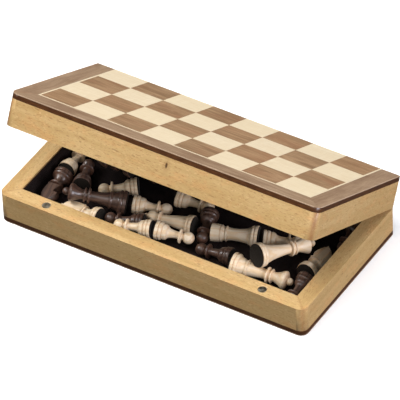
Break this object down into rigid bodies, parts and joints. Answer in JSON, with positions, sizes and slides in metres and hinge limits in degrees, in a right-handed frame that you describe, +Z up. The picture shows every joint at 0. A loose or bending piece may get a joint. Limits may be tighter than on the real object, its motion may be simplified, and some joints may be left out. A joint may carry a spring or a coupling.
{
  "type": "folding chess set",
  "caption": "Folding wooden travel chess case, its outer faces the two halves of the board, hinged along the back, with turned light and dark chessmen lying inside the lined tray.",
  "frame": {"origin": "centre of the lower half's resting face", "axes": "+X along the case's hinged length, +Y towards the hinge side, +Z up; the lid at rest stands 26.4 degrees open"},
  "size_m": [0.24, 0.1275, 0.0968],
  "materials": {
    "beech": "satin lacquered beech",
    "walnut_veneer": "satin lacquered walnut veneer",
    "maple_veneer": "satin lacquered maple veneer",
    "board_core": "dark stained board edge",
    "velvet": "black velvet",
    "magnet": "nickel plated magnet",
    "hinge_brass": "brushed brass",
    "boxwood": "pale turned wood, satin",
    "ebonised_wood": "dark stained turned wood, gloss"
  },
  "bodies": {
    "tray": {"tray_front_rail": "beech", "tray_back_rail": "beech", "tray_left_rail": "beech", "tray_right_rail": "beech", "tray_board_core": "board_core", "tray_border": "walnut_veneer", "tray_stringing": "maple_veneer", "tray_light_squares": "maple_veneer", "tray_dark_squares": "walnut_veneer", "tray_lining": "velvet", "tray_magnets": "magnet", "tray_hinge_leaves": "hinge_brass", "tray_hinge_screws": "hinge_brass", "hinge_pins": "hinge_brass"},
    "lid": {"lid_front_rail": "beech", "lid_back_rail": "beech", "lid_left_rail": "beech", "lid_right_rail": "beech", "lid_board_core": "board_core", "lid_border": "walnut_veneer", "lid_stringing": "maple_veneer", "lid_light_squares": "maple_veneer", "lid_dark_squares": "walnut_veneer", "lid_lining": "velvet", "lid_magnets": "magnet", "lid_hinge_leaves": "hinge_brass", "lid_hinge_screws": "hinge_brass"},
    "light_king": {"light_king": "boxwood"},
    "light_queen": {"light_queen": "boxwood"},
    "light_bishop_1": {"light_bishop_1": "boxwood"},
    "light_bishop_2": {"light_bishop_2": "boxwood"},
    "light_knight_1": {"light_knight_1": "boxwood"},
    "light_knight_2": {"light_knight_2": "boxwood"},
    "light_rook_1": {"light_rook_1": "boxwood"},
    "light_rook_2": {"light_rook_2": "boxwood"},
    "light_pawn_1": {"light_pawn_1": "boxwood"},
    "light_pawn_2": {"light_pawn_2": "boxwood"},
    "light_pawn_3": {"light_pawn_3": "boxwood"},
    "light_pawn_4": {"light_pawn_4": "boxwood"},
    "light_pawn_5": {"light_pawn_5": "boxwood"},
    "light_pawn_6": {"light_pawn_6": "boxwood"},
    "light_pawn_7": {"light_pawn_7": "boxwood"},
    "light_pawn_8": {"light_pawn_8": "boxwood"},
    "dark_king": {"dark_king": "ebonised_wood"},
    "dark_queen": {"dark_queen": "ebonised_wood"},
    "dark_bishop_1": {"dark_bishop_1": "ebonised_wood"},
    "dark_bishop_2": {"dark_bishop_2": "ebonised_wood"},
    "dark_knight_1": {"dark_knight_1": "ebonised_wood"},
    "dark_knight_2": {"dark_knight_2": "ebonised_wood"},
    "dark_rook_1": {"dark_rook_1": "ebonised_wood"},
    "dark_rook_2": {"dark_rook_2": "ebonised_wood"},
    "dark_pawn_1": {"dark_pawn_1": "ebonised_wood"},
    "dark_pawn_2": {"dark_pawn_2": "ebonised_wood"},
    "dark_pawn_3": {"dark_pawn_3": "ebonised_wood"},
    "dark_pawn_4": {"dark_pawn_4": "ebonised_wood"},
    "dark_pawn_5": {"dark_pawn_5": "ebonised_wood"},
    "dark_pawn_6": {"dark_pawn_6": "ebonised_wood"},
    "dark_pawn_7": {"dark_pawn_7": "ebonised_wood"},
    "dark_pawn_8": {"dark_pawn_8": "ebonised_wood"}
  },
  "joints": [
    {"name": "case_hinge", "type": "hinge", "parent": "tray", "child": "lid", "pos_m": [0, 0.0585, 0.0236], "axis": [-1, 0, 0], "range_deg": [-26.4, 153.6]},
    {"name": "lift_light_king", "type": "slide", "parent": "light_queen", "child": "light_king", "axis": [0, 0, 1], "range_m": [0, 0.02]},
    {"name": "lift_light_queen", "type": "slide", "parent": "tray", "child": "light_queen", "axis": [0, 0, 1], "range_m": [0, 0.02]},
    {"name": "lift_light_bishop_1", "type": "slide", "parent": "tray", "child": "light_bishop_1", "axis": [0, 0, 1], "range_m": [0, 0.02]},
    {"name": "lift_light_bishop_2", "type": "slide", "parent": "tray", "child": "light_bishop_2", "axis": [0, 0, 1], "range_m": [0, 0.02]},
    {"name": "lift_light_knight_1", "type": "slide", "parent": "tray", "child": "light_knight_1", "axis": [0, 0, 1], "range_m": [0, 0.02]},
    {"name": "lift_light_knight_2", "type": "slide", "parent": "tray", "child": "light_knight_2", "axis": [0, 0, 1], "range_m": [0, 0.02]},
    {"name": "lift_light_rook_1", "type": "slide", "parent": "tray", "child": "light_rook_1", "axis": [0, 0, 1], "range_m": [0, 0.02]},
    {"name": "lift_light_rook_2", "type": "slide", "parent": "tray", "child": "light_rook_2", "axis": [0, 0, 1], "range_m": [0, 0.02]},
    {"name": "lift_light_pawn_1", "type": "slide", "parent": "tray", "child": "light_pawn_1", "axis": [0, 0, 1], "range_m": [0, 0.02]},
    {"name": "lift_light_pawn_2", "type": "slide", "parent": "tray", "child": "light_pawn_2", "axis": [0, 0, 1], "range_m": [0, 0.02]},
    {"name": "lift_light_pawn_3", "type": "slide", "parent": "tray", "child": "light_pawn_3", "axis": [0, 0, 1], "range_m": [0, 0.02]},
    {"name": "lift_light_pawn_4", "type": "slide", "parent": "dark_pawn_2", "child": "light_pawn_4", "axis": [0, 0, 1], "range_m": [0, 0.02]},
    {"name": "lift_light_pawn_5", "type": "slide", "parent": "tray", "child": "light_pawn_5", "axis": [0, 0, 1], "range_m": [0, 0.02]},
    {"name": "lift_light_pawn_6", "type": "slide", "parent": "tray", "child": "light_pawn_6", "axis": [0, 0, 1], "range_m": [0, 0.02]},
    {"name": "lift_light_pawn_7", "type": "slide", "parent": "tray", "child": "light_pawn_7", "axis": [0, 0, 1], "range_m": [0, 0.02]},
    {"name": "lift_light_pawn_8", "type": "slide", "parent": "tray", "child": "light_pawn_8", "axis": [0, 0, 1], "range_m": [0, 0.02]},
    {"name": "lift_dark_king", "type": "slide", "parent": "tray", "child": "dark_king", "axis": [0, 0, 1], "range_m": [0, 0.02]},
    {"name": "lift_dark_queen", "type": "slide", "parent": "light_knight_1", "child": "dark_queen", "axis": [0, 0, 1], "range_m": [0, 0.02]},
    {"name": "lift_dark_bishop_1", "type": "slide", "parent": "tray", "child": "dark_bishop_1", "axis": [0, 0, 1], "range_m": [0, 0.02]},
    {"name": "lift_dark_bishop_2", "type": "slide", "parent": "tray", "child": "dark_bishop_2", "axis": [0, 0, 1], "range_m": [0, 0.02]},
    {"name": "lift_dark_knight_1", "type": "slide", "parent": "tray", "child": "dark_knight_1", "axis": [0, 0, 1], "range_m": [0, 0.02]},
    {"name": "lift_dark_knight_2", "type": "slide", "parent": "light_pawn_2", "child": "dark_knight_2", "axis": [0, 0, 1], "range_m": [0, 0.02]},
    {"name": "lift_dark_rook_1", "type": "slide", "parent": "tray", "child": "dark_rook_1", "axis": [0, 0, 1], "range_m": [0, 0.02]},
    {"name": "lift_dark_rook_2", "type": "slide", "parent": "tray", "child": "dark_rook_2", "axis": [0, 0, 1], "range_m": [0, 0.02]},
    {"name": "lift_dark_pawn_1", "type": "slide", "parent": "tray", "child": "dark_pawn_1", "axis": [0, 0, 1], "range_m": [0, 0.02]},
    {"name": "lift_dark_pawn_2", "type": "slide", "parent": "tray", "child": "dark_pawn_2", "axis": [0, 0, 1], "range_m": [0, 0.02]},
    {"name": "lift_dark_pawn_3", "type": "slide", "parent": "tray", "child": "dark_pawn_3", "axis": [0, 0, 1], "range_m": [0, 0.02]},
    {"name": "lift_dark_pawn_4", "type": "slide", "parent": "tray", "child": "dark_pawn_4", "axis": [0, 0, 1], "range_m": [0, 0.02]},
    {"name": "lift_dark_pawn_5", "type": "slide", "parent": "tray", "child": "dark_pawn_5", "axis": [0, 0, 1], "range_m": [0, 0.02]},
    {"name": "lift_dark_pawn_6", "type": "slide", "parent": "tray", "child": "dark_pawn_6", "axis": [0, 0, 1], "range_m": [0, 0.02]},
    {"name": "lift_dark_pawn_7", "type": "slide", "parent": "tray", "child": "dark_pawn_7", "axis": [0, 0, 1], "range_m": [0, 0.02]},
    {"name": "lift_dark_pawn_8", "type": "slide", "parent": "tray", "child": "dark_pawn_8", "axis": [0, 0, 1], "range_m": [0, 0.02]}
  ]
}
